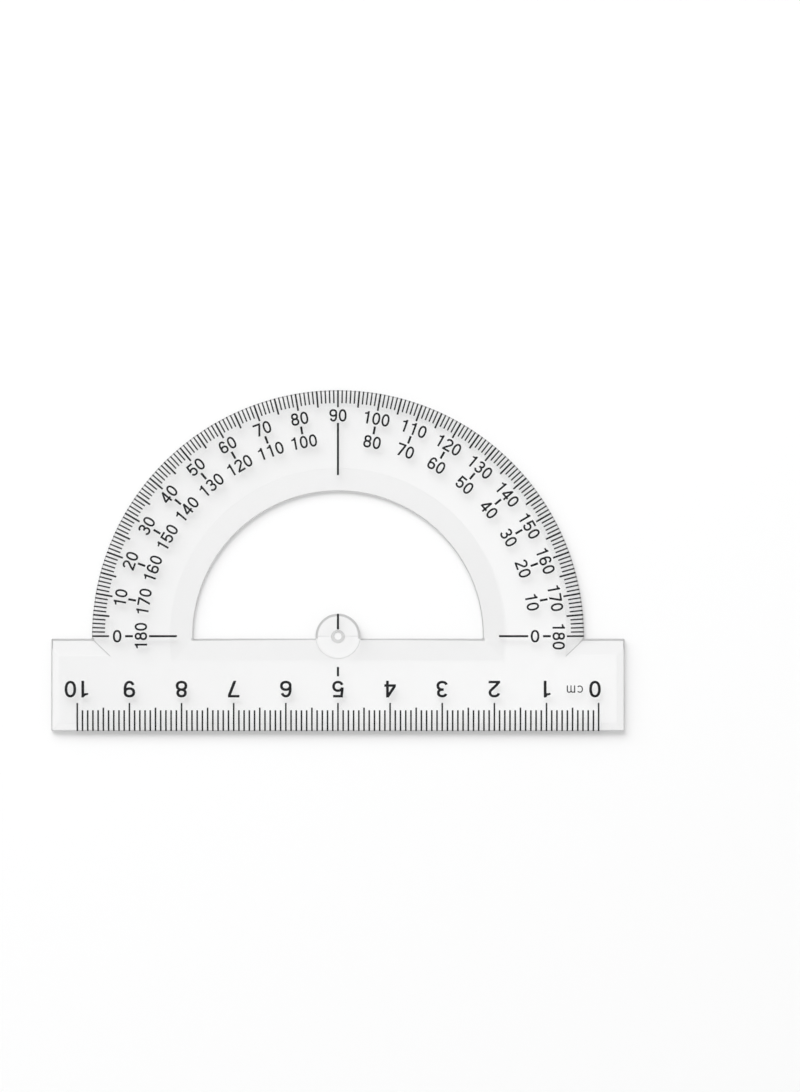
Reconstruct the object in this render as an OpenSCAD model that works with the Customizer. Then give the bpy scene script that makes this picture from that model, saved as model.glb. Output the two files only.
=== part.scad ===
// Half-circle protractor in clear plastic with a centimetre ruler along its base.
// It lies flat with the printed face up. All sizes are in millimetres.
// Origin: the vertex of the degree scale, on the underside of the plate.
// +X runs along the base towards the ruler's zero, +Y towards the 90 degree mark,
// and +Z points up out of the printed face.

/* [Plate] */
// Length of the base from end to end
plate_length = 110; // [108:0.5:120]
// Thickness of the flat middle of the plate
plate_thickness = 2; // [1.6:0.1:3]
// Radius of the rim that carries the degree scale
rim_radius = 47.2; // [46.8:0.1:49]
// Distance of the shoulders and the window's straight edge below the vertex line
shoulder_drop = 0.5; // [0.2:0.1:1]
// Distance of the ruling edge below the vertex line
base_drop = 18.2; // [17.8:0.1:22]

/* [Bevels] */
// Angle between every bevel and the flat of the plate
bevel_angle = 12; // [6:1:14]
// Width of the bevel along the rim and the shoulders
rim_bevel = 3.4; // [3.35:0.05:3.5]
// Width of the bevel along the ruling edge and the two ends
base_bevel = 1.5; // [0.8:0.1:2]

/* [Window] */
// Radius of the window's round edge
window_radius = 27.8; // [26:0.1:28.5]
// Width of the bevel round the window
window_bevel = 4.5; // [4.4:0.1:5]

/* [Centre boss] */
// Radius of the round boss about the vertex
boss_radius = 4.3; // [4:0.1:4.6]
// Drop of the boss's sloping half at its tip
tip_drop = 0.5; // [0.2:0.05:0.8]
// Radius of the hole at the vertex
hole_radius = 0.7; // [0.5:0.05:0.9]
// Radius of the hole's countersink at the top face
countersink_radius = 1.3; // [1.1:0.05:1.5]
// Depth of the countersink
countersink_depth = 0.6; // [0.3:0.05:0.8]

/* [Degree scale] */
// Length of a single-degree line
one_degree_length = 2.5; // [2:0.1:2.8]
// Length of a five-degree line
five_degree_length = 3.2; // [2.9:0.05:3.25]
// Length of a ten-degree line
ten_degree_length = 3.3; // [3.25:0.05:3.35]
// Width of a single-degree line
fine_line = 0.27; // [0.15:0.01:0.35]
// Width of the five-degree and ten-degree lines
coarse_line = 0.34; // [0.2:0.01:0.4]
// Height of the degree numerals
degree_numeral = 2.4; // [2:0.1:2.5]
// Radius at the middle of the outer row of numerals
outer_row_radius = 42.35; // [42.2:0.05:42.5]
// Radius at the middle of the inner row of numerals
inner_row_radius = 37.8; // [37.5:0.05:38]
// Length of the dashes between the two rows
dash_length = 1.5; // [1:0.1:1.6]
// Width of the dashes, the middle mark and the vertex index
dash_width = 0.42; // [0.3:0.01:0.5]
// Width of the long lines at 0, 90 and 180 degrees
long_line_width = 0.4; // [0.25:0.01:0.5]
// Radius at which the long lines at 0, 90 and 180 degrees start
long_line_inner = 30.9; // [30:0.1:31.5]

/* [Ruler] */
// Whole centimetres on the ruler
ruler_cm = 10; // [8:1:10]
// Length of a millimetre line
millimetre_length = 4; // [3:0.1:4.2]
// Length of a half-centimetre line
half_centimetre_length = 4.5; // [4.3:0.1:4.8]
// Length of a centimetre line
centimetre_length = 5.4; // [5:0.1:5.6]
// Width of the ruler's lines
ruler_line = 0.31; // [0.15:0.01:0.4]
// Height of the ruler's numerals
ruler_numeral = 3.2; // [2.8:0.05:3.4]
// Extra width of the ruler's numerals and of the degree scale's two zeros
upright_widening = 1.1; // [1:0.01:1.25]
// Distance of the middle of the ruler's numerals below the vertex line
ruler_numeral_drop = 10.15; // [9.9:0.05:10.4]
// Height of the small letters of the unit mark
unit_letter = 1.4; // [0.9:0.05:1.5]

/* [Ink] */
// Thickness of the printed ink
ink_thickness = 0.04; // [0.02:0.01:0.1]

/* [Hidden] */

clear_plastic = [0.93, 0.94, 0.95, 0.45];
ink_black = [0.12, 0.12, 0.13];
round_fn = 180;
overshoot = 1;

slope = tan(bevel_angle);
shoulder_y = -shoulder_drop;
base_y = -base_drop;
rim_flat_radius = rim_radius - rim_bevel;
window_flat_radius = window_radius + window_bevel;
rim_edge = plate_thickness - rim_bevel * slope;
base_edge = plate_thickness - base_bevel * slope;
window_edge = plate_thickness - window_bevel * slope;
tip_slope = tip_drop / boss_radius;

last_degree = 180;
right_angle = 90;
major_step = 10;
minor_step = 5;
millimetres_per_cm = 10;

// Proportions of the numerals, as parts of their height
numeral_stroke = 0.15;
numeral_half_width = 0.315;
numeral_pitch = 0.75;
numeral_fullness = 0.9;
waist_three = 0.53;
waist_six = 0.61;

// Gaps between the long lines and the middles of the numerals beyond them, as parts of
// the degree numerals' height
left_line_gap = 0.65;
right_line_gap = 0.55;
ninety_line_gap = 0.6;

// Steps along an open and a closed stroke of a numeral
arc_steps = 14;
loop_steps = 28;

// ---------------------------------------------------------------- plate

// Half disc with a bevelled rim, carried down far enough to blend into the base bar.
module half_disc() {
    lowest_y = shoulder_y - rim_bevel;
    intersection() {
        rotate_extrude($fn = round_fn)
            polygon([
                [0, 0], [rim_radius, 0], [rim_radius, rim_edge],
                [rim_flat_radius, plate_thickness], [0, plate_thickness]
            ]);
        translate([-rim_radius - overshoot, lowest_y, -overshoot])
            cube([
                2 * (rim_radius + overshoot),
                rim_radius - lowest_y + overshoot,
                plate_thickness + 2 * overshoot
            ]);
    }
}

// Bar along the base: its top slopes down to the shoulders, the ruling edge and both ends.
module base_bar() {
    half = plate_length / 2;
    intersection() {
        rotate([90, 0, 90])
            translate([0, 0, -half])
                linear_extrude(plate_length)
                    polygon([
                        [base_y, 0], [shoulder_y, 0], [shoulder_y, rim_edge],
                        [shoulder_y - rim_bevel, plate_thickness],
                        [base_y + base_bevel, plate_thickness], [base_y, base_edge]
                    ]);
        rotate([90, 0, 0])
            translate([0, 0, -overshoot])
                linear_extrude(base_drop + 2 * overshoot)
                    polygon([
                        [-half, 0], [half, 0], [half, base_edge],
                        [half - base_bevel, plate_thickness],
                        [-half + base_bevel, plate_thickness], [-half, base_edge]
                    ]);
    }
}

// Half-circle window, cut right through.
module window_cut() {
    intersection() {
        translate([0, 0, -overshoot])
            cylinder(r = window_radius, h = plate_thickness + 2 * overshoot, $fn = round_fn);
        translate([-window_radius - overshoot, shoulder_y, -2 * overshoot])
            cube([
                2 * (window_radius + overshoot),
                window_radius + 2 * overshoot,
                plate_thickness + 4 * overshoot
            ]);
    }
}

// Bevel round the window: a cone along the round edge, mitred to a slope along the straight edge.
module window_bevel_cut() {
    rise = overshoot * slope;
    top = plate_thickness + rise;
    far_y = window_flat_radius + 2 * overshoot;
    intersection() {
        rotate_extrude($fn = round_fn)
            polygon([
                [0, window_edge], [window_radius, window_edge],
                [window_flat_radius + overshoot, top], [0, top]
            ]);
        rotate([90, 0, 90])
            translate([0, 0, -window_flat_radius - 2 * overshoot])
                linear_extrude(2 * (window_flat_radius + 2 * overshoot))
                    polygon([
                        [shoulder_y, window_edge],
                        [shoulder_y - window_bevel - overshoot, top],
                        [far_y, top], [far_y, window_edge]
                    ]);
    }
}

// Round boss about the vertex. The half inside the window slopes down to its tip.
module centre_boss() {
    reach = boss_radius + overshoot;
    difference() {
        cylinder(r = boss_radius, h = plate_thickness, $fn = round_fn);
        rotate([90, 0, 90])
            translate([0, 0, -reach])
                linear_extrude(2 * reach)
                    polygon([
                        [0, plate_thickness],
                        [reach, plate_thickness - reach * tip_slope],
                        [reach, plate_thickness + overshoot],
                        [0, plate_thickness + overshoot]
                    ]);
    }
}

// Countersunk hole at the vertex.
module centre_hole_cut() {
    flare = (countersink_radius - hole_radius) / countersink_depth;
    translate([0, 0, -overshoot])
        cylinder(r = hole_radius, h = plate_thickness + 2 * overshoot, $fn = round_fn);
    translate([0, 0, plate_thickness - countersink_depth])
        cylinder(
            r1 = hole_radius,
            r2 = countersink_radius + flare * overshoot,
            h = countersink_depth + overshoot,
            $fn = round_fn
        );
}

// The one-piece clear moulding.
module plate() {
    color(clear_plastic)
        difference() {
            union() {
                difference() {
                    union() {
                        half_disc();
                        base_bar();
                    }
                    window_cut();
                    window_bevel_cut();
                }
                centre_boss();
            }
            centre_hole_cut();
        }
}

// ---------------------------------------------------------------- printed lines

// Height of the top face over the rim, at radius r.
function rim_height(r) = plate_thickness - max(0, r - rim_flat_radius) * slope;

// Height of the top face over the window's bevel, at radius r.
function window_height(r) = plate_thickness - max(0, window_flat_radius - r) * slope;

// A line of ink along +X. Each point of path is [distance, height] on the face below it.
module printed_line(path, width) {
    upper_side = [for (i = [len(path) - 1 : -1 : 0]) path[i] + [0, ink_thickness]];
    color(ink_black)
        rotate([90, 0, 0])
            translate([0, 0, -width / 2])
                linear_extrude(width)
                    polygon(concat(path, upper_side));
}

// A line on the rim's bevel, running in from the rim at each angle of the list.
module rim_lines(angles, length, width) {
    inner = rim_radius - length;
    for (angle = angles)
        rotate([0, 0, angle])
            printed_line([[inner, rim_height(inner)], [rim_radius, rim_edge]], width);
}

// A line of the ruler, running up from the ruling edge at each x of the list.
module ruler_lines(places, length) {
    for (x = places)
        translate([x, 0, 0])
            rotate([0, 0, 90])
                printed_line([
                    [base_y, base_edge],
                    [base_y + base_bevel, plate_thickness],
                    [base_y + length, plate_thickness]
                ], ruler_line);
}

// A long line from over the window's bevel out to the numerals, at one angle.
module long_line(angle, outer) {
    rotate([0, 0, angle])
        printed_line([
            [long_line_inner, window_height(long_line_inner)],
            [window_flat_radius, plate_thickness],
            [outer, plate_thickness]
        ], long_line_width);
}

// ---------------------------------------------------------------- numerals

// A sine or cosine, raised a little so that an oval's sides are fuller than an ellipse's.
function fuller(value) = sign(value) * pow(abs(value), numeral_fullness);

// Points along an oval, from one angle to another.
function oval(centre, half_size, from, to, steps) = [
    for (i = [0 : steps])
        let (angle = from + (to - from) * i / steps)
            centre + [half_size[0] * fuller(cos(angle)), half_size[1] * fuller(sin(angle))]
];

// Unit normal of a path at point i, square to the chord between its neighbours.
function path_normal(path, i) =
    let (
        before = path[max(i - 1, 0)],
        after = path[min(i + 1, len(path) - 1)],
        along = (after - before) / norm(after - before)
    )
    [-along[1], along[0]];

// A pen stroke of one width along a path, with square ends.
module stroke(path) {
    half = numeral_stroke / 2;
    last = len(path) - 1;
    left = [for (i = [0 : last]) path[i] + half * path_normal(path, i)];
    right = [for (i = [last : -1 : 0]) path[i] - half * path_normal(path, i)];
    polygon(concat(left, right));
}

// A closed oval stroke that stands between two heights.
module loop(half_width, bottom, top) {
    centre = [0, (bottom + top) / 2];
    outer = [half_width, (top - bottom) / 2];
    inner = outer - [numeral_stroke, numeral_stroke];
    turn = 360 * (1 - 1 / loop_steps);
    difference() {
        polygon(oval(centre, outer, 0, turn, loop_steps - 1));
        polygon(oval(centre, inner, 0, turn, loop_steps - 1));
    }
}

// An open oval stroke that stands between two heights.
module bow(half_width, bottom, top, from, to) {
    centre = [0, (bottom + top) / 2];
    middle = [half_width, (top - bottom) / 2] - [numeral_stroke, numeral_stroke] / 2;
    stroke(oval(centre, middle, from, to, arc_steps));
}

module digit_zero() {
    loop(numeral_half_width, 0, 1);
}

module digit_one() {
    stem_right = numeral_stroke;
    flag_left = -0.22;
    flag_top = 0.84;
    flag_bottom = 0.73;
    bend = [-0.05, 0.89];
    polygon([
        [0, 0], [stem_right, 0], [stem_right, 1], [0.2 * stem_right, 1],
        bend, [flag_left, flag_top], [flag_left, flag_bottom], [0, flag_bottom + 0.02]
    ]);
}

module digit_two() {
    half = numeral_stroke / 2;
    bowl_height = 0.58;
    bowl_centre = [0, 1 - bowl_height / 2];
    bowl_middle = [numeral_half_width, bowl_height / 2] - [half, half];
    bowl = oval(bowl_centre, bowl_middle, 172, -32, arc_steps);
    neck = [-0.12, 0.25];
    foot = [half - numeral_half_width, half];
    stroke(concat(bowl, [neck, foot]));
    translate([-numeral_half_width, 0])
        square([2 * numeral_half_width, numeral_stroke]);
}

module digit_three() {
    half = numeral_stroke / 2;
    opening = 165;
    tongue = 0.08;
    overlap = 0.01;
    bow(0.92 * numeral_half_width, waist_three - half, 1, opening, -90);
    bow(numeral_half_width, 0, waist_three + half, 90, -opening);
    translate([-tongue, waist_three - half])
        square([tongue + overlap, numeral_stroke]);
}

module digit_four() {
    stem_left = 0.07;
    bar_bottom = 0.21;
    bar_top = bar_bottom + numeral_stroke;
    rise = (1 - bar_top) / (stem_left + numeral_half_width);
    cut = numeral_stroke * sqrt(1 + rise * rise);
    difference() {
        union() {
            polygon([
                [-numeral_half_width, bar_bottom], [stem_left + numeral_stroke, bar_bottom],
                [stem_left + numeral_stroke, 1], [stem_left, 1],
                [-numeral_half_width, bar_top]
            ]);
            translate([stem_left, 0])
                square([numeral_stroke, bar_top]);
            translate([0, bar_bottom])
                square([numeral_half_width, numeral_stroke]);
        }
        polygon([
            [stem_left, bar_top], [stem_left, 1 - cut],
            [cut / rise - numeral_half_width, bar_top]
        ]);
    }
}

module digit_five() {
    stem_top = [-0.19, 1];
    stem_foot = [-0.24, 0.4];
    bowl_top = 0.67;
    bar_length = 0.53;
    bow(numeral_half_width, 0, bowl_top, 150, -162);
    translate([stem_top[0] - numeral_stroke / 2, 1 - numeral_stroke])
        square([bar_length, numeral_stroke]);
    stroke([stem_foot, stem_top]);
}

module digit_six() {
    loop(numeral_half_width, 0, waist_six);
    bow(numeral_half_width, 0, 1, 196, 33);
}

module digit_seven() {
    foot = -0.15;
    lean = 1.12 * numeral_stroke;
    polygon([
        [foot, 0], [foot + lean, 0],
        [numeral_half_width, 1 - numeral_stroke], [numeral_half_width, 1],
        [-numeral_half_width, 1], [-numeral_half_width, 1 - numeral_stroke],
        [numeral_half_width - lean, 1 - numeral_stroke]
    ]);
}

module digit_eight() {
    half = numeral_stroke / 2;
    loop(0.9 * numeral_half_width, waist_three - half, 1);
    loop(numeral_half_width, 0, waist_three + half);
}

module digit_nine() {
    translate([0, 1])
        rotate(180)
            digit_six();
}

// One digit, one unit high, centred on x = 0.
module digit(value) {
    if (value == 0) digit_zero();
    if (value == 1) digit_one();
    if (value == 2) digit_two();
    if (value == 3) digit_three();
    if (value == 4) digit_four();
    if (value == 5) digit_five();
    if (value == 6) digit_six();
    if (value == 7) digit_seven();
    if (value == 8) digit_eight();
    if (value == 9) digit_nine();
}

// The decimal digits of a whole number, first digit first.
function digits_of(value) =
    value < 10 ? [value] : concat(digits_of(floor(value / 10)), [value % 10]);

// A printed number of one height, centred on the origin of the top face.
module printed_number(value, height, widening = 1) {
    list = digits_of(value);
    first_x = -numeral_pitch * (len(list) - 1) / 2;
    color(ink_black)
        translate([0, 0, plate_thickness])
            linear_extrude(ink_thickness)
                scale([height * widening, height])
                    for (i = [0 : len(list) - 1])
                        translate([first_x + i * numeral_pitch, -0.5])
                            digit(list[i]);
}

// A degree number on the radius at one angle, its top turned outwards.
module degree_number(value, angle, radius) {
    rotate([0, 0, angle])
        translate([radius, 0, 0])
            rotate([0, 0, -right_angle])
                printed_number(value, degree_numeral);
}

// A degree zero, which stands upright on the vertex line.
module upright_zero(x) {
    translate([x, 0, 0])
        printed_number(0, degree_numeral, upright_widening);
}

// ---------------------------------------------------------------- degree scale

module one_degree_lines() {
    rim_lines(
        [for (a = [0 : last_degree]) if (a % minor_step != 0) a],
        one_degree_length,
        fine_line
    );
}

module five_degree_lines() {
    rim_lines([minor_step : major_step : last_degree], five_degree_length, coarse_line);
}

module ten_degree_lines() {
    rim_lines([0 : major_step : last_degree], ten_degree_length, coarse_line);
}

// The outer row counts clockwise from zero at the left.
module outer_degree_numerals() {
    upright_zero(-outer_row_radius);
    for (a = [major_step : major_step : last_degree])
        degree_number(a, last_degree - a, outer_row_radius);
}

// The inner row counts anticlockwise from zero at the right, and leaves out 90.
module inner_degree_numerals() {
    upright_zero(inner_row_radius);
    for (a = [major_step : major_step : last_degree])
        if (a != right_angle)
            degree_number(a, a, inner_row_radius);
}

// Dashes between the two rows, at every ten degrees but 90.
module numeral_dashes() {
    middle = (outer_row_radius + inner_row_radius) / 2;
    for (a = [0 : major_step : last_degree])
        if (a != right_angle)
            rotate([0, 0, a])
                printed_line([
                    [middle - dash_length / 2, plate_thickness],
                    [middle + dash_length / 2, plate_thickness]
                ], dash_width);
}

module zero_line_left() {
    long_line(last_degree, inner_row_radius - left_line_gap * degree_numeral);
}

module zero_line_right() {
    long_line(0, inner_row_radius - right_line_gap * degree_numeral);
}

module ninety_line() {
    long_line(right_angle, outer_row_radius - ninety_line_gap * degree_numeral);
}

// Short line up the sloping half of the boss, from the countersink to the tip.
module vertex_index() {
    start = countersink_radius;
    end = boss_radius;
    rotate([0, 0, right_angle])
        printed_line([
            [start, plate_thickness - start * tip_slope],
            [end, plate_thickness - end * tip_slope]
        ], dash_width);
}

// ---------------------------------------------------------------- ruler

// The ruler's zero is at its right-hand end, so it is read with the plate turned round.
function ruler_x(millimetres) = ruler_cm * millimetres_per_cm / 2 - millimetres;

module millimetre_lines() {
    ruler_lines(
        [for (m = [1 : ruler_cm * millimetres_per_cm]) if (m % minor_step != 0) ruler_x(m)],
        millimetre_length
    );
}

module half_centimetre_lines() {
    ruler_lines(
        [for (i = [0 : ruler_cm - 1]) ruler_x((i + 0.5) * millimetres_per_cm)],
        half_centimetre_length
    );
}

module centimetre_lines() {
    ruler_lines(
        [for (i = [0 : ruler_cm]) ruler_x(i * millimetres_per_cm)],
        centimetre_length
    );
}

// The numerals are printed upside down to the degree scale. The zero is set in from the end.
module centimetre_numerals() {
    zero_inset = 0.7;
    for (i = [0 : ruler_cm]) {
        inset = i == 0 ? zero_inset : 0;
        translate([ruler_x(i * millimetres_per_cm) - inset, -ruler_numeral_drop, 0])
            rotate([0, 0, 180])
                printed_number(i, ruler_numeral, upright_widening);
    }
}

// A filled arch: straight sides from the foot up to an oval's upper half.
module arch(half_width, foot, oval_bottom, top) {
    centre = [0, (oval_bottom + top) / 2];
    crown = oval(centre, [half_width, (top - oval_bottom) / 2], 0, 180, arc_steps);
    polygon(concat([[half_width, foot]], crown, [[-half_width, foot]]));
}

// The letters cm, one unit high.
module unit_letters() {
    c_middle = -1.2;
    c_half_width = 0.44;
    c_opening = 42;
    stem_pitch = 0.5;
    outer_half = (stem_pitch + numeral_stroke) / 2;
    inner_half = outer_half - numeral_stroke;
    outer_bottom = 0.35;
    inner_bottom = outer_bottom + numeral_stroke;
    translate([c_middle, 0])
        bow(c_half_width, 0, 1, c_opening, 360 - c_opening);
    difference() {
        union() {
            for (x = [-stem_pitch / 2, stem_pitch / 2])
                translate([x, 0])
                    arch(outer_half, 0, outer_bottom, 1);
            translate([-stem_pitch - numeral_stroke / 2, 0])
                square([numeral_stroke, 1]);
        }
        for (x = [-stem_pitch / 2, stem_pitch / 2])
            translate([x, 0])
                arch(inner_half, -overshoot, inner_bottom, 1 - numeral_stroke);
    }
}

// The unit, cm, between the ruler's 0 and 1.
module unit_mark() {
    place = 5.3;
    color(ink_black)
        translate([ruler_x(place), -ruler_numeral_drop, plate_thickness])
            rotate([0, 0, 180])
                linear_extrude(ink_thickness)
                    scale(unit_letter)
                        translate([0, -0.5])
                            unit_letters();
}

// Short mark over the ruler's middle, in line with the vertex.
module middle_mark() {
    top_y = -5.9;
    length = 1.8;
    rotate([0, 0, right_angle])
        printed_line([[top_y - length, plate_thickness], [top_y, plate_thickness]], dash_width);
}

plate();
one_degree_lines();
five_degree_lines();
ten_degree_lines();
outer_degree_numerals();
inner_degree_numerals();
numeral_dashes();
zero_line_left();
zero_line_right();
ninety_line();
vertex_index();
millimetre_lines();
half_centimetre_lines();
centimetre_lines();
centimetre_numerals();
unit_mark();
middle_mark();
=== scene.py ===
import math

import bmesh
import bpy
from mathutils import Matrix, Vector


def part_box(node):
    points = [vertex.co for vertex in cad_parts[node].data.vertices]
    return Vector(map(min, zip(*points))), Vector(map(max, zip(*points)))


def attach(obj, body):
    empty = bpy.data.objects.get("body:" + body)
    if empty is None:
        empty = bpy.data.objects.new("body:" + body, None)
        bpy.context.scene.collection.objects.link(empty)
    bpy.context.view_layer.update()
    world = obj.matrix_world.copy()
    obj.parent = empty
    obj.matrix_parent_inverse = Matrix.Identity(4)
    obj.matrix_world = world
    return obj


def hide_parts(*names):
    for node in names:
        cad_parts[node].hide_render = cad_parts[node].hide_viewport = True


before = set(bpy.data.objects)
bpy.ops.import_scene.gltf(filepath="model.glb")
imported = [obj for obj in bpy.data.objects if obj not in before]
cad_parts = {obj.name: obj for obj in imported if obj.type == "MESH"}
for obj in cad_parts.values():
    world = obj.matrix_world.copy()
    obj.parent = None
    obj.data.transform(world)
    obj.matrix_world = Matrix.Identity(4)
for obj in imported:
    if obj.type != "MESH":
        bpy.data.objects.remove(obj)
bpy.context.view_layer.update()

MM = 0.001

# ---------------------------------------------------------------- the plate's dimensions
# Places come from the CAD plate's own box. The widths and slopes of its bevels are repeated
# here, in metres, because the box doesn't hold them.

plate_low, plate_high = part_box("plate")
HALF_LENGTH = plate_high.x
RIM_RADIUS = plate_high.y
BASE_Y = plate_low.y
TOP_Z = plate_high.z

BEVEL_SLOPE = math.tan(math.radians(12))
RIM_BEVEL = 3.4 * MM
BASE_BEVEL = 1.5 * MM
SHOULDER_Y = -0.5 * MM
WINDOW_RADIUS = 27.8 * MM
WINDOW_BEVEL = 4.5 * MM
BOSS_RADIUS = 4.3 * MM
TIP_DROP = 0.5 * MM
HOLE_RADIUS = 0.7 * MM
COUNTERSINK_RADIUS = 1.3 * MM
COUNTERSINK_DEPTH = 0.6 * MM
BOSS_SHADE_BAND = 0.45 * MM

RIM_FLAT = RIM_RADIUS - RIM_BEVEL
WINDOW_FLAT = WINDOW_RADIUS + WINDOW_BEVEL
SHOULDER_FLAT_Y = SHOULDER_Y - RIM_BEVEL
WINDOW_FLAT_Y = SHOULDER_Y - WINDOW_BEVEL
BASE_FLAT_Y = BASE_Y + BASE_BEVEL
END_FLAT_X = HALF_LENGTH - BASE_BEVEL
END_CORNER_Y = SHOULDER_FLAT_Y + BASE_BEVEL
TIP_SLOPE = TIP_DROP / BOSS_RADIUS
COUNTERSINK_FLARE = (COUNTERSINK_RADIUS - HOLE_RADIUS) / COUNTERSINK_DEPTH

# How many faces each round stretch of one half has
RIM_STEPS = 120
VALLEY_STEPS = 6
WINDOW_STEPS = 90
MITRE_STEPS = 10
BOSS_TIP_STEPS = 30
BOSS_SIDE_STEPS = 2
BOSS_FOOT_STEPS = 28

# Roundings: their width, and how many faces lie across each
WIDE_ROUNDING = (0.42 * MM, 4)
EDGE_ROUNDING = (0.22 * MM, 4)
BOSS_ROUNDING = (0.05 * MM, 3)
CREASE_ROUNDING = (0.1 * MM, 2)
ROUND_PROFILE = 0.5
FLATTEN_WEIGHT = 100

# Edges that turn by more than the first angle lead to a wall, and those that turn by more than
# the second are creases. Edges with their middle inside the boss's reach belong to the boss.
LEAST_WALL_ANGLE = math.radians(40)
LEAST_CREASE = math.radians(4)
BOSS_REACH = 1.01 * BOSS_RADIUS
WELD_DISTANCE = 0.0001 * MM
SORTING_DIRECTION = Vector((1.0, 0.377, 0.0731))

# ---------------------------------------------------------------- the looks
# The kinds of surface on the plate, in the order of its materials: the material's name, how clear
# and how rough it is, and how much of the lamps' light it lets in and out.
# The clearness is partly painted light and shade: the edge roundings, the countersink and the hinge
# line are darkened as painted shade, the shoulder, end and base bevels are lightened as painted
# light in place of a reflection, and the bevels and walls are tinted a little apart from the flats.

PLASTICS = (
    ("clear_plastic", 0.953, 0.02, 0.985, 0.985),
    ("clear_plastic_wall", 0.93, 0.1, 0.98, 0.5),
    ("clear_plastic_bevel", 0.96, 0.03, 0.98, 0.98),
    ("clear_plastic_edge_painted_shade", 0.4, 0.3, 0.98, 0.5),
    ("clear_plastic_sink_painted_shade", 0.57, 0.2, 0.98, 0.98),
    ("clear_plastic_ledge_painted_light", 1.0, 0.03, 0.985, 0.985),
    ("clear_plastic_hinge_painted_shade", 0.79, 0.15, 0.98, 0.98),
)
FACE, WALL, BEVEL, SHADED_EDGE, SHADED_SINK, LIT_LEDGE, SHADED_HINGE = range(len(PLASTICS))

PLASTIC_IOR = 1.49
NOISE_DETAIL = 3.0
NOISE_MIDDLE = 0.5
NOISE_CONTRAST = 0.25

CLOUDINESS = 0.015
CLOUD_SIZE = 30 * MM
RUB_ROUGHNESS = 0.05
RUB_SIZE = 6 * MM
RUB_STRETCH = (0.15, 6, 1)
RUB_CONTRAST = 0.35
WAVE_SIZE = 9 * MM
WAVE_DEPTH = 0.004 * MM

DARK_INK = (0.010, 0.010, 0.011)
PALE_INK = (0.022, 0.022, 0.024)
INK_PATCH = 1.2 * MM
INK_ROUGHNESS = (0.5, 0.7)
INK_ROUGHNESS_PATCH = 0.6 * MM
INK_GRAIN_SIZE = 0.25 * MM
INK_GRAIN = 0.003 * MM
INK_SPECULAR = 0.25
LIGHT_THROUGH_INK = 0.75

FLOOR_HALF_SIZE = 1.5
FLOOR_DROP = 0.02 * MM
FLOOR_WHITE = 0.95
FLOOR_ROUGHNESS = 0.9

# Each softbox: its name, the direction it stands in, how far off, how wide, and its watts
SOFTBOXES = (
    ("key", (-0.2, 0.6, 1.0), 3.0, 0.9, 22),
    ("sky", (-0.3, 0.85, 1.0), 4.0, 3.2, 115),
    ("side", (-1.0, 0.8, 0.7), 3.0, 1.8, 26),
)

# Each part of the room that glows: the direction of its middle, the angles from there in
# degrees at which it has faded to nothing and is full, and its strength
CEILING_PANEL = ((0.075, -0.075, 1.0), 10, 3, 1.1)
HIGH_WINDOW = ((0.0, 0.6, 1.0), 32, 10, 0.55)
ROOM_WALLS = ((0.0, 0.0, 1.0), 45, 75, 0.7)
ROOM = 0.2
BACKDROP = 0.85

# The camera looks straight down. Its place, and the height of the field it sees on the floor
CAMERA_X = 11.9 * MM
CAMERA_Y = 17.3 * MM
SEEN_HEIGHT = 209.8 * MM
LENS_LENGTH = 200
SENSOR_SIZE = 36

# A ray inside the plate may be thrown back this many times before it is given up.
INNER_REFLECTIONS = 24


# ---------------------------------------------------------------- mesh helpers

def spread(start, stop, steps):
    """Evenly spaced numbers from start to stop, both included."""
    return [start + (stop - start) * i / steps for i in range(steps + 1)]


def around(radius, angles):
    """Points at each angle in degrees. The radius is a number, or a function of the angle."""
    points = []
    for angle in angles:
        r = radius(angle) if callable(radius) else radius
        points.append((r * math.cos(math.radians(angle)), r * math.sin(math.radians(angle))))
    return points


def at_height(points, height):
    """Flat points lifted to a height, which is a number or a function of x and y."""
    return [Vector((x, y, height(x, y) if callable(height) else height)) for x, y in points]


def add_face(mesh, points, material=FACE):
    """One flat face through the points, in order."""
    face = mesh.faces.new([mesh.verts.new(p) for p in points])
    face.material_index = material


def add_strip(mesh, first, second, material=FACE):
    """Four-sided faces between two rows of points, with triangles where the rows meet."""
    for i in range(len(first) - 1):
        corners = []
        for point in (first[i], first[i + 1], second[i + 1], second[i]):
            if all((point - c).length > WELD_DISTANCE for c in corners):
                corners.append(point)
        if len(corners) > 2:
            add_face(mesh, corners, material)


# ---------------------------------------------------------------- the plate's heights

def beyond(distance):
    """Height of a bevel that starts at the flat top and has run this far."""
    return TOP_Z - max(distance, 0.0) * BEVEL_SLOPE


def rim_height(x, y):
    return beyond(math.hypot(x, y) - RIM_FLAT)


def window_height(x, y):
    return beyond(WINDOW_FLAT - math.hypot(x, y))


def shoulder_height(x, y):
    return beyond(y - SHOULDER_FLAT_Y)


def straight_window_height(x, y):
    return beyond(y - WINDOW_FLAT_Y)


def end_height(x, y):
    return beyond(x - END_FLAT_X)


def base_height(x, y):
    return beyond(BASE_FLAT_Y - y)


def boss_height(x, y):
    return TOP_Z - max(y, 0.0) * TIP_SLOPE


# ---------------------------------------------------------------- the plate's outlines

def rim_outer(angle):
    """Radius at which the rim's cone ends: the rim itself, then the valley to the shoulder."""
    fall = max(-math.sin(math.radians(angle)), 0.0)
    valley = (RIM_RADIUS - SHOULDER_Y) / (1 + fall)
    return min(RIM_RADIUS, valley)


def window_inner(angle):
    """Radius at which the window's cone ends: the window's edge, then the mitre."""
    mitre = (WINDOW_RADIUS + SHOULDER_Y) / (1 + math.sin(math.radians(angle)))
    return max(WINDOW_RADIUS, mitre)


def countersink_edge(angle):
    """Radius of the countersink's edge, which the boss's sloping half cuts a little lower."""
    fall = max(math.sin(math.radians(angle)), 0.0) * TIP_SLOPE
    return COUNTERSINK_RADIUS / (1 + COUNTERSINK_FLARE * fall)


def angle_at(radius, y):
    return math.degrees(math.asin(y / radius))


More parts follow.
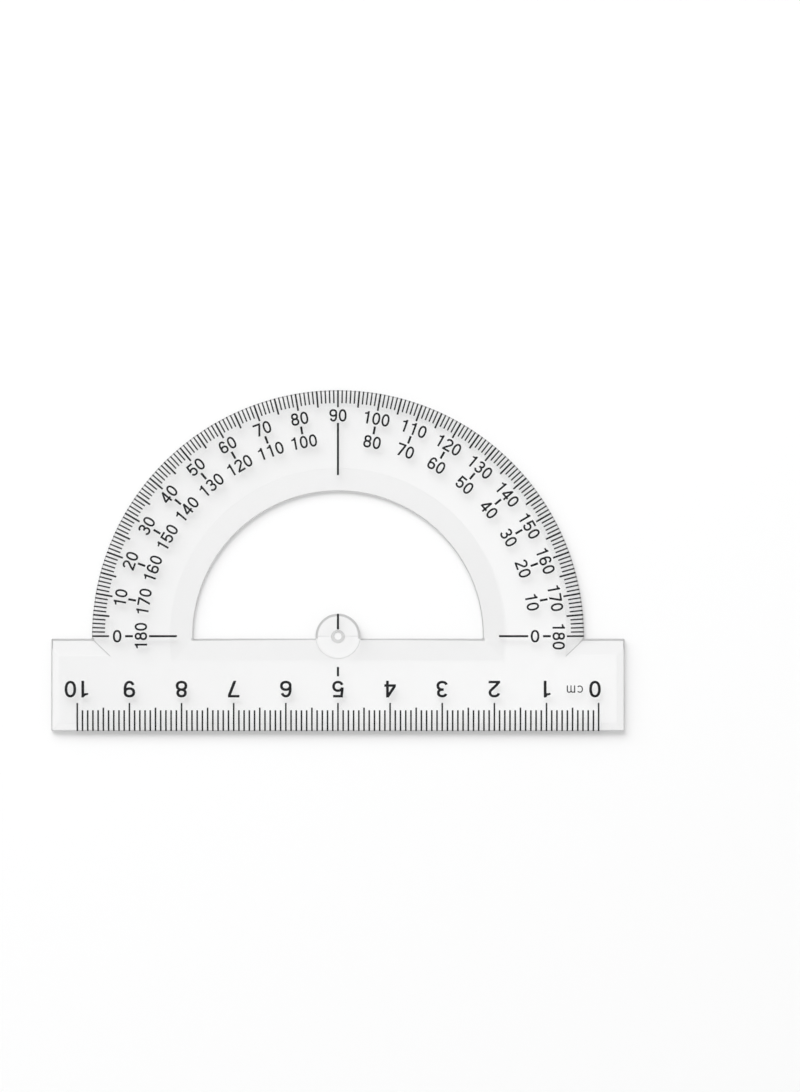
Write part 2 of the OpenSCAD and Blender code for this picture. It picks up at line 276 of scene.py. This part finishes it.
# Where the rim, the window and the open part of the boss end at the straight edges
RIM_END = angle_at(RIM_RADIUS, SHOULDER_Y)
WINDOW_END = angle_at(WINDOW_RADIUS, SHOULDER_Y)
BOSS_END = angle_at(BOSS_RADIUS, SHOULDER_Y)

# Angles along each round stretch, downwards from the 90 degree line
RIM_ANGLES = spread(90, RIM_END, RIM_STEPS)
VALLEY_ANGLES = spread(RIM_END, angle_at(RIM_FLAT, SHOULDER_FLAT_Y), VALLEY_STEPS)
WINDOW_ANGLES = spread(90, WINDOW_END, WINDOW_STEPS)
MITRE_ANGLES = spread(WINDOW_END, angle_at(WINDOW_FLAT, WINDOW_FLAT_Y), MITRE_STEPS)
OPEN_BOSS_ANGLES = spread(90, 0, BOSS_TIP_STEPS) + spread(0, BOSS_END, BOSS_SIDE_STEPS)[1:]
SHUT_BOSS_ANGLES = spread(BOSS_END, -90, BOSS_FOOT_STEPS)
CONE_ANGLES = RIM_ANGLES + VALLEY_ANGLES[1:]
BOWL_ANGLES = WINDOW_ANGLES + MITRE_ANGLES[1:]
ALL_BOSS_ANGLES = OPEN_BOSS_ANGLES + SHUT_BOSS_ANGLES[1:]

# Outlines of the upright walls, seen from above
RIM_OUTLINE = around(RIM_RADIUS, RIM_ANGLES)
WINDOW_OUTLINE = around(WINDOW_RADIUS, WINDOW_ANGLES)
BOSS_OUTLINE = around(BOSS_RADIUS, OPEN_BOSS_ANGLES)
HOLE_OUTLINE = around(HOLE_RADIUS, ALL_BOSS_ANGLES)


# ---------------------------------------------------------------- the right-hand half

def add_round_bevels(mesh):
    """The bevel along the rim with the valley beside the shoulder, and the window's bevel."""
    add_strip(mesh, at_height(around(rim_outer, CONE_ANGLES), rim_height),
              at_height(around(RIM_FLAT, CONE_ANGLES), TOP_Z), BEVEL)
    add_strip(mesh, at_height(around(WINDOW_FLAT, BOWL_ANGLES), TOP_Z),
              at_height(around(window_inner, BOWL_ANGLES), window_height), BEVEL)


def add_flat_top(mesh):
    """The flat top, from the base up to the 90 degree line and back round the window."""
    flat = [(0, BASE_FLAT_Y), (END_FLAT_X, BASE_FLAT_Y), (END_FLAT_X, SHOULDER_FLAT_Y)]
    flat += around(RIM_FLAT, reversed(CONE_ANGLES))
    flat += around(WINDOW_FLAT, BOWL_ANGLES)
    flat += [(0, WINDOW_FLAT_Y)]
    add_face(mesh, at_height(flat, TOP_Z))


def add_straight_bevels(mesh):
    """The bevels of the shoulder, the end, the base and the window's straight edge."""
    shoulder = [(HALF_LENGTH, END_CORNER_Y), (HALF_LENGTH, SHOULDER_Y)]
    shoulder += around(rim_outer, VALLEY_ANGLES)
    shoulder += [(END_FLAT_X, SHOULDER_FLAT_Y)]
    # The shoulder, end and base bevels take the lighter ledge material: painted light in place of a
    # reflection.
    add_face(mesh, at_height(shoulder, shoulder_height), LIT_LEDGE)
    end = [(END_FLAT_X, BASE_FLAT_Y), (HALF_LENGTH, BASE_Y),
           (HALF_LENGTH, END_CORNER_Y), (END_FLAT_X, SHOULDER_FLAT_Y)]
    add_face(mesh, at_height(end, end_height), LIT_LEDGE)
    base = [(0, BASE_Y), (HALF_LENGTH, BASE_Y), (END_FLAT_X, BASE_FLAT_Y), (0, BASE_FLAT_Y)]
    add_face(mesh, at_height(base, base_height), LIT_LEDGE)
    straight = [(0, WINDOW_FLAT_Y)] + around(window_inner, reversed(MITRE_ANGLES))
    straight += around(BOSS_RADIUS, SHUT_BOSS_ANGLES)
    add_face(mesh, at_height(straight, straight_window_height), BEVEL)


def add_boss(mesh):
    """The step round the boss's lower half, its top, the countersink and the hole."""
    lower_arc = around(BOSS_RADIUS, SHUT_BOSS_ANGLES)
    add_strip(mesh, at_height(lower_arc, straight_window_height), at_height(lower_arc, TOP_Z), WALL)
    boss_band_radius = BOSS_RADIUS - BOSS_SHADE_BAND
    # On the open half the boss's outer band takes the dark edge material: a painted shade line round
    # the boss.
    for angles, material in ((OPEN_BOSS_ANGLES, SHADED_EDGE), (SHUT_BOSS_ANGLES, FACE)):
        add_strip(mesh, at_height(around(BOSS_RADIUS, angles), boss_height),
                  at_height(around(boss_band_radius, angles), boss_height), material)
    sink_edge = at_height(around(countersink_edge, ALL_BOSS_ANGLES), boss_height)
    sink_bottom = at_height(HOLE_OUTLINE, TOP_Z - COUNTERSINK_DEPTH)
    add_strip(mesh, at_height(around(boss_band_radius, ALL_BOSS_ANGLES), boss_height), sink_edge)
    # The countersink takes the darker sink material: a painted shade ring round the hole.
    add_strip(mesh, sink_edge, sink_bottom, SHADED_SINK)
    add_strip(mesh, sink_bottom, at_height(HOLE_OUTLINE, 0), BEVEL)


def add_walls(mesh):
    """The upright walls: rim, window, boss, shoulder, sill, base and end."""
    add_strip(mesh, at_height(RIM_OUTLINE, 0), at_height(RIM_OUTLINE, rim_height), WALL)
    add_strip(mesh, at_height(WINDOW_OUTLINE, window_height), at_height(WINDOW_OUTLINE, 0), WALL)
    add_strip(mesh, at_height(BOSS_OUTLINE, 0), at_height(BOSS_OUTLINE, boss_height), WALL)
    ledge = [RIM_OUTLINE[-1], (HALF_LENGTH, SHOULDER_Y)]
    add_strip(mesh, at_height(ledge, 0), at_height(ledge, shoulder_height), WALL)
    sill = [WINDOW_OUTLINE[-1], BOSS_OUTLINE[-1]]
    add_strip(mesh, at_height(sill, straight_window_height), at_height(sill, 0), WALL)
    front = [(HALF_LENGTH, BASE_Y), (0, BASE_Y)]
    add_strip(mesh, at_height(front, 0), at_height(front, base_height), WALL)
    end_foot = [(HALF_LENGTH, SHOULDER_Y), (HALF_LENGTH, BASE_Y)]
    end_top = [(HALF_LENGTH, BASE_Y), (HALF_LENGTH, END_CORNER_Y)]
    add_face(mesh, at_height(end_foot, 0) + at_height(end_top, end_height)
             + at_height(end_foot[:1], shoulder_height), WALL)


def add_underside(mesh):
    underside = [(0, BASE_Y), (HALF_LENGTH, BASE_Y), (HALF_LENGTH, SHOULDER_Y)]
    underside += RIM_OUTLINE[::-1] + WINDOW_OUTLINE + BOSS_OUTLINE[::-1] + HOLE_OUTLINE
    add_face(mesh, at_height(underside, 0))


def half_plate():
    """The right-hand half of the plate, open along x = 0."""
    mesh = bmesh.new()
    add_round_bevels(mesh)
    add_flat_top(mesh)
    add_straight_bevels(mesh)
    add_boss(mesh)
    add_walls(mesh)
    add_underside(mesh)
    bmesh.ops.remove_doubles(mesh, verts=mesh.verts, dist=WELD_DISTANCE)
    return mesh


# ---------------------------------------------------------------- the whole plate

def mirrored(mesh):
    """The mesh and its mirror image in x = 0, welded along the seam."""
    bmesh.ops.mirror(mesh, geom=mesh.verts[:] + mesh.edges[:] + mesh.faces[:], axis="X",
                     merge_dist=WELD_DISTANCE)
    bmesh.ops.recalc_face_normals(mesh, faces=mesh.faces)
    return mesh


def round_edges(mesh, edges, rounding, material):
    width, segments = rounding
    bmesh.ops.bevel(mesh, geom=edges, offset=width, offset_type="OFFSET", segments=segments,
                    profile=ROUND_PROFILE, affect="EDGES", clamp_overlap=False, loop_slide=True,
                    material=material)


def creases(mesh, least):
    """Edges at which the surface turns by at least an angle."""
    return [e for e in mesh.edges
            if len(e.link_faces) == 2 and e.calc_face_angle() > least]


def shallow_creases(mesh):
    """Creases between flats and bevels, away from the walls and from edges already rounded."""
    return [e for e in creases(mesh, LEAST_CREASE)
            if all(f.material_index not in (WALL, SHADED_EDGE) for f in e.link_faces)]


def middle(edge):
    return (edge.verts[0].co + edge.verts[1].co) / 2


def on_boss(edge):
    return middle(edge).xy.length < BOSS_REACH


def on_shoulder_or_sill(edge):
    """The edge of a straight wall that faces away from the ruler."""
    return not on_boss(edge) and all(abs(v.co.y - SHOULDER_Y) < WELD_DISTANCE for v in edge.verts)


def on_top(edge):
    """An edge of the upper surface, and not one that stands upright in a corner."""
    return middle(edge).z > TOP_Z / 2 and abs(edge.verts[0].co.z - edge.verts[1].co.z) < TOP_Z / 2


def is_valley(edge):
    """The line where the rim's bevel meets the shoulder's."""
    return not edge.is_convex and middle(edge).xy.length > WINDOW_FLAT


def is_hinge(edge):
    """The line across the boss where its top starts to slope."""
    return on_boss(edge) and all(abs(v.co.y) < WELD_DISTANCE for v in edge.verts)


def round_plate(mesh):
    """Rounds the walls' edges first, and then the creases between flats and bevels. The roundings of
    the walls, the boss and the valleys take the dark edge material, a painted shade line, and the
    hinge a paler painted shade line.
    """
    steep = creases(mesh, LEAST_WALL_ANGLE)
    wide = [e for e in steep if on_top(e) and on_shoulder_or_sill(e)]
    round_edges(mesh, wide, WIDE_ROUNDING, SHADED_EDGE)
    steep = creases(mesh, LEAST_WALL_ANGLE)
    round_edges(mesh, [e for e in steep if not on_boss(e)], EDGE_ROUNDING, SHADED_EDGE)
    steep = creases(mesh, LEAST_WALL_ANGLE)
    round_edges(mesh, [e for e in steep if on_boss(e)], BOSS_ROUNDING, SHADED_EDGE)
    valleys = [e for e in shallow_creases(mesh) if is_valley(e)]
    round_edges(mesh, valleys, CREASE_ROUNDING, SHADED_EDGE)
    hinges = [e for e in shallow_creases(mesh) if is_hinge(e)]
    # The hinge rounding takes the hinge material, darkened as a painted shade line.
    round_edges(mesh, hinges, CREASE_ROUNDING, SHADED_HINGE)
    round_edges(mesh, shallow_creases(mesh), CREASE_ROUNDING, BEVEL)
    bmesh.ops.remove_doubles(mesh, verts=mesh.verts, dist=WELD_DISTANCE)


def put_in_order(mesh):
    """Sorts points and faces along one slanting direction, in which hardly any two lie level.
    The tools above leave them in an order that changes from run to run."""
    mesh.verts.sort(key=lambda vert: vert.co.dot(SORTING_DIRECTION))
    mesh.faces.sort(key=lambda face: face.calc_center_median().dot(SORTING_DIRECTION))


def make_plate():
    mesh = mirrored(half_plate())
    round_plate(mesh)
    put_in_order(mesh)
    for face in mesh.faces:
        face.smooth = True
    data = bpy.data.meshes.new("clear_plate")
    mesh.to_mesh(data)
    mesh.free()
    plate = bpy.data.objects.new("clear_plate", data)
    bpy.context.scene.collection.objects.link(plate)
    # The large faces decide the shading, so that flats stay flat beside their roundings.
    flatten = plate.modifiers.new("flat_faces", "WEIGHTED_NORMAL")
    flatten.keep_sharp = True
    flatten.weight = FLATTEN_WEIGHT
    return plate


# ---------------------------------------------------------------- shader helpers

def new_material(name):
    material = bpy.data.materials.new(name)
    material.use_nodes = True
    return material, material.node_tree.nodes["Principled BSDF"]


def maths(tree, operation, first, second):
    """One operation, such as ADD, on two sockets or numbers."""
    step = tree.nodes.new("ShaderNodeMath")
    step.operation = operation
    for entry, value in zip(step.inputs, (first, second)):
        if isinstance(value, bpy.types.NodeSocket):
            tree.links.new(value, entry)
        else:
            entry.default_value = value
    return step.outputs["Value"]


def noise(material, size, low, high, stretch=(1, 1, 1), contrast=NOISE_CONTRAST):
    """A noise pattern fixed to the object, with patches of one size, between two numbers."""
    nodes, links = material.node_tree.nodes, material.node_tree.links
    place = nodes.new("ShaderNodeTexCoord")
    mapping = nodes.new("ShaderNodeMapping")
    mapping.inputs["Scale"].default_value = stretch
    pattern = nodes.new("ShaderNodeTexNoise")
    pattern.inputs["Scale"].default_value = 1 / size
    pattern.inputs["Detail"].default_value = NOISE_DETAIL
    levels = nodes.new("ShaderNodeMapRange")
    levels.inputs["From Min"].default_value = NOISE_MIDDLE - contrast
    levels.inputs["From Max"].default_value = NOISE_MIDDLE + contrast
    levels.inputs["To Min"].default_value = low
    levels.inputs["To Max"].default_value = high
    links.new(place.outputs["Object"], mapping.inputs["Vector"])
    links.new(mapping.outputs["Vector"], pattern.inputs["Vector"])
    links.new(pattern.outputs["Fac"], levels.inputs["Value"])
    return levels.outputs["Result"]


def blend(material, darker, lighter, factor):
    """A colour between two, chosen by a factor from 0 to 1."""
    nodes, links = material.node_tree.nodes, material.node_tree.links
    mix = nodes.new("ShaderNodeMix")
    mix.data_type = "RGBA"
    mix.inputs["A"].default_value = (*darker, 1)
    mix.inputs["B"].default_value = (*lighter, 1)
    links.new(factor, mix.inputs["Factor"])
    return mix.outputs["Result"]


def grey(level):
    return (level, level, level)


def carve(material, height, depth):
    """Bends the surface's normal as if the pattern were carved to a depth."""
    nodes, links = material.node_tree.nodes, material.node_tree.links
    bump = nodes.new("ShaderNodeBump")
    bump.inputs["Distance"].default_value = depth
    links.new(height, bump.inputs["Height"])
    links.new(bump.outputs["Normal"], nodes["Principled BSDF"].inputs["Normal"])


def let_lamps_through(material, entering, leaving, share=1.0):
    """Lets light from the lamps pass straight through a clear surface, so that what lies under
    it is lit. Glass alone would leave the floor beneath it dark and grainy. The two tints are
    for light that comes in and goes out: a wall lets little out, because plastic reflects
    steep light back inside, and that is what gives a clear plate its shadow."""
    nodes, links = material.node_tree.nodes, material.node_tree.links
    rays = nodes.new("ShaderNodeLightPath").outputs
    from_lamps = maths(material.node_tree, "MAXIMUM", rays["Is Shadow Ray"], rays["Is Diffuse Ray"])
    amount = maths(material.node_tree, "MULTIPLY", from_lamps, share)
    side = nodes.new("ShaderNodeNewGeometry")
    through = nodes.new("ShaderNodeBsdfTransparent")
    tint = blend(material, grey(leaving), grey(entering), side.outputs["Backfacing"])
    links.new(tint, through.inputs["Color"])
    mix = nodes.new("ShaderNodeMixShader")
    links.new(amount, mix.inputs["Fac"])
    links.new(nodes["Principled BSDF"].outputs[0], mix.inputs[1])
    links.new(through.outputs[0], mix.inputs[2])
    links.new(mix.outputs[0], nodes["Material Output"].inputs["Surface"])


# ---------------------------------------------------------------- materials

def clear_plastic(name, clearness_and_painted_light, roughness, entering, leaving):
    """Polished clear plastic: faintly cloudy, with hairline rubs and a slight waviness. Its
    clearness also carries painted light and shade, which makes some copies darker or lighter than
    the flats.
    """
    material, shader = new_material(name)
    links = material.node_tree.links
    cloud = noise(material, CLOUD_SIZE, 0.0, 1.0)
    tint = blend(material, grey(clearness_and_painted_light - CLOUDINESS), grey(clearness_and_painted_light), cloud)
    links.new(tint, shader.inputs["Base Color"])
    rubs = noise(material, RUB_SIZE, roughness, roughness + RUB_ROUGHNESS, RUB_STRETCH, RUB_CONTRAST)
    links.new(rubs, shader.inputs["Roughness"])
    carve(material, noise(material, WAVE_SIZE, 0.0, 1.0), WAVE_DEPTH)
    shader.inputs["IOR"].default_value = PLASTIC_IOR
    shader.inputs["Transmission Weight"].default_value = 1.0
    let_lamps_through(material, entering, leaving)
    return material


def black_ink():
    """Screen-printed ink: near black, a little uneven in tone, gloss and thickness. Some of
    the lamps' light passes, which keeps the ink's shadow on the floor faint."""
    material, shader = new_material("black_ink")
    links = material.node_tree.links
    tone = blend(material, DARK_INK, PALE_INK, noise(material, INK_PATCH, 0.0, 1.0))
    links.new(tone, shader.inputs["Base Color"])
    links.new(noise(material, INK_ROUGHNESS_PATCH, *INK_ROUGHNESS), shader.inputs["Roughness"])
    carve(material, noise(material, INK_GRAIN_SIZE, 0.0, 1.0), INK_GRAIN)
    shader.inputs["Specular IOR Level"].default_value = INK_SPECULAR
    let_lamps_through(material, 1.0, 1.0, LIGHT_THROUGH_INK)
    return material


# ---------------------------------------------------------------- floor, light and camera

def make_floor():
    mesh = bmesh.new()
    bmesh.ops.create_grid(mesh, x_segments=1, y_segments=1, size=FLOOR_HALF_SIZE)
    data = bpy.data.meshes.new("floor")
    mesh.to_mesh(data)
    mesh.free()
    floor = bpy.data.objects.new("floor", data)
    floor.location.z = -FLOOR_DROP
    bpy.context.scene.collection.objects.link(floor)
    material, shader = new_material("floor")
    shader.inputs["Base Color"].default_value = (*grey(FLOOR_WHITE), 1)
    shader.inputs["Roughness"].default_value = FLOOR_ROUGHNESS
    data.materials.append(material)


def make_softbox(name, direction, distance, size, power):
    """A square softbox that faces the object. It shows in no mirror image."""
    data = bpy.data.lights.new(name, "AREA")
    data.size = size
    data.energy = power
    light = bpy.data.objects.new(name, data)
    light.location = Vector(direction).normalized() * distance
    light.rotation_euler = Vector(direction).to_track_quat("Z", "Y").to_euler()
    light.visible_glossy = False
    light.visible_transmission = False
    bpy.context.scene.collection.objects.link(light)


def glow(tree, direction, axis, none, full, strength):
    """Light that fades from its full strength at one angle from an axis to nothing at another."""
    towards = tree.nodes.new("ShaderNodeVectorMath")
    towards.operation = "DOT_PRODUCT"
    towards.inputs[1].default_value = Vector(axis).normalized()
    tree.links.new(direction, towards.inputs[0])
    fade = tree.nodes.new("ShaderNodeMapRange")
    fade.interpolation_type = "SMOOTHSTEP"
    fade.inputs["From Min"].default_value = math.cos(math.radians(none))
    fade.inputs["From Max"].default_value = math.cos(math.radians(full))
    fade.inputs["To Min"].default_value = 0.0
    fade.inputs["To Max"].default_value = strength
    tree.links.new(towards.outputs["Value"], fade.inputs["Value"])
    return fade.outputs["Result"]


def make_world():
    """A dim white room with a ceiling panel and a high window. Its pale walls show in the
    plastic but light nothing, and the camera sees the whole room as one plain backdrop."""
    world = bpy.data.worlds.new("studio")
    world.use_nodes = True
    tree = world.node_tree
    direction = tree.nodes.new("ShaderNodeTexCoord").outputs["Generated"]
    rays = tree.nodes.new("ShaderNodeLightPath").outputs
    panel = glow(tree, direction, *CEILING_PANEL)
    high_window = glow(tree, direction, *HIGH_WINDOW)
    walls = glow(tree, direction, *ROOM_WALLS)
    by_plastic = maths(tree, "MAXIMUM", rays["Is Glossy Ray"], rays["Is Transmission Ray"])
    seen_walls = maths(tree, "MULTIPLY", walls, by_plastic)
    lit = maths(tree, "ADD", panel, high_window)
    lit = maths(tree, "ADD", lit, ROOM)
    lit = maths(tree, "ADD", lit, seen_walls)
    strength = tree.nodes.new("ShaderNodeMix")
    tree.links.new(rays["Is Camera Ray"], strength.inputs["Factor"])
    tree.links.new(lit, strength.inputs["A"])
    strength.inputs["B"].default_value = BACKDROP
    background = tree.nodes["Background"]
    background.inputs["Color"].default_value = (*grey(1.0), 1)
    tree.links.new(strength.outputs["Result"], background.inputs["Strength"])
    bpy.context.scene.world = world


def make_camera():
    data = bpy.data.cameras.new("camera")
    data.lens = LENS_LENGTH
    data.sensor_width = SENSOR_SIZE
    camera = bpy.data.objects.new("camera", data)
    camera.location = (CAMERA_X, CAMERA_Y, SEEN_HEIGHT * LENS_LENGTH / SENSOR_SIZE)
    bpy.context.scene.collection.objects.link(camera)
    bpy.context.scene.camera = camera


# ---------------------------------------------------------------- the scene

plate = make_plate()
for plastic in PLASTICS:
    plate.data.materials.append(clear_plastic(*plastic))
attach(plate, "root")
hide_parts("plate")

ink = black_ink()
for name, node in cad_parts.items():
    if name != "plate":
        node.data.materials.clear()
        node.data.materials.append(ink)

make_floor()
for softbox in SOFTBOXES:
    make_softbox(*softbox)
make_world()
make_camera()
bpy.context.scene.view_settings.view_transform = "Standard"
bpy.context.scene.cycles.glossy_bounces = INNER_REFLECTIONS
bpy.context.scene.cycles.max_bounces = 2 * INNER_REFLECTIONS
